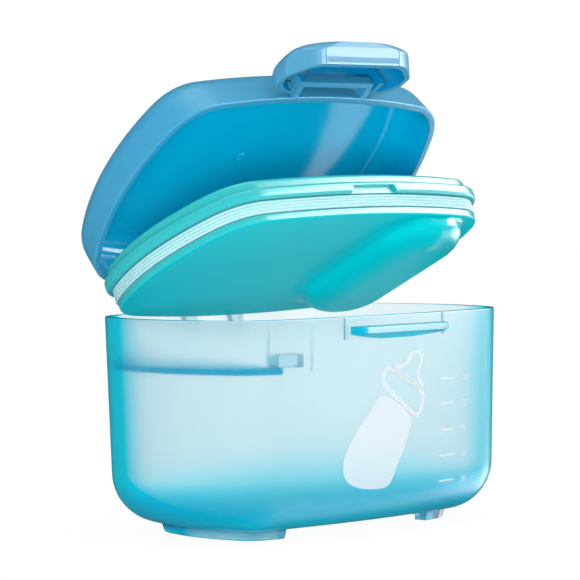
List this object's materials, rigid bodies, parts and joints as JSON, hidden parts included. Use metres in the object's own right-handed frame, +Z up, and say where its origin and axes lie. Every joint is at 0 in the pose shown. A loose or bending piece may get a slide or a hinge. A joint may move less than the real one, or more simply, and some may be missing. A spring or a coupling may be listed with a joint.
{
  "type": "formula dispenser",
  "caption": "Translucent tub with a hinged tray-shaped inner lid, a domed outer lid on the same hinge and a front clasp that hooks under a ledge.",
  "frame": {"origin": "under the middle of the box round the open dispenser, on the floor", "axes": "+Z up, -Y towards the front with the clasp and the ledge, +X towards the scoop well's end, parallel to the hinge"},
  "size_m": [0.13, 0.1012, 0.1565],
  "materials": {
    "tub_plastic": "frosted translucent blue polypropylene",
    "leveller_plastic": "satin",
    "pin_plastic": "satin",
    "inner_lid_plastic": "satin gloss",
    "seal_silicone": "matte silicone",
    "outer_lid_plastic": "satin outside, gloss inside",
    "clasp_plastic": "satin",
    "print_ink": "thin white print on the tub"
  },
  "bodies": {
    "container": {"container": "tub_plastic", "leveller": "leveller_plastic", "hinge_pin": "pin_plastic"},
    "inner_lid": {"inner_lid": "inner_lid_plastic", "seal": "seal_silicone"},
    "outer_lid": {"outer_lid": "outer_lid_plastic"},
    "clasp": {"clasp": "clasp_plastic"}
  },
  "joints": [
    {"name": "inner_lid_hinge", "type": "hinge", "parent": "container", "child": "inner_lid", "pos_m": [0, 0.04488, 0.07381], "axis": [-1, 0, 0], "range_deg": [-25.19, 54.8]},
    {"name": "outer_lid_hinge", "type": "hinge", "parent": "inner_lid", "child": "outer_lid", "pos_m": [0, 0.04488, 0.07381], "axis": [-1, 0, 0], "range_deg": [-21.18, 73.8]},
    {"name": "clasp_hinge", "type": "hinge", "parent": "outer_lid", "child": "clasp", "pos_m": [0, -0.01708, 0.14285], "axis": [-1, 0, 0], "range_deg": [-74, 0]}
  ]
}
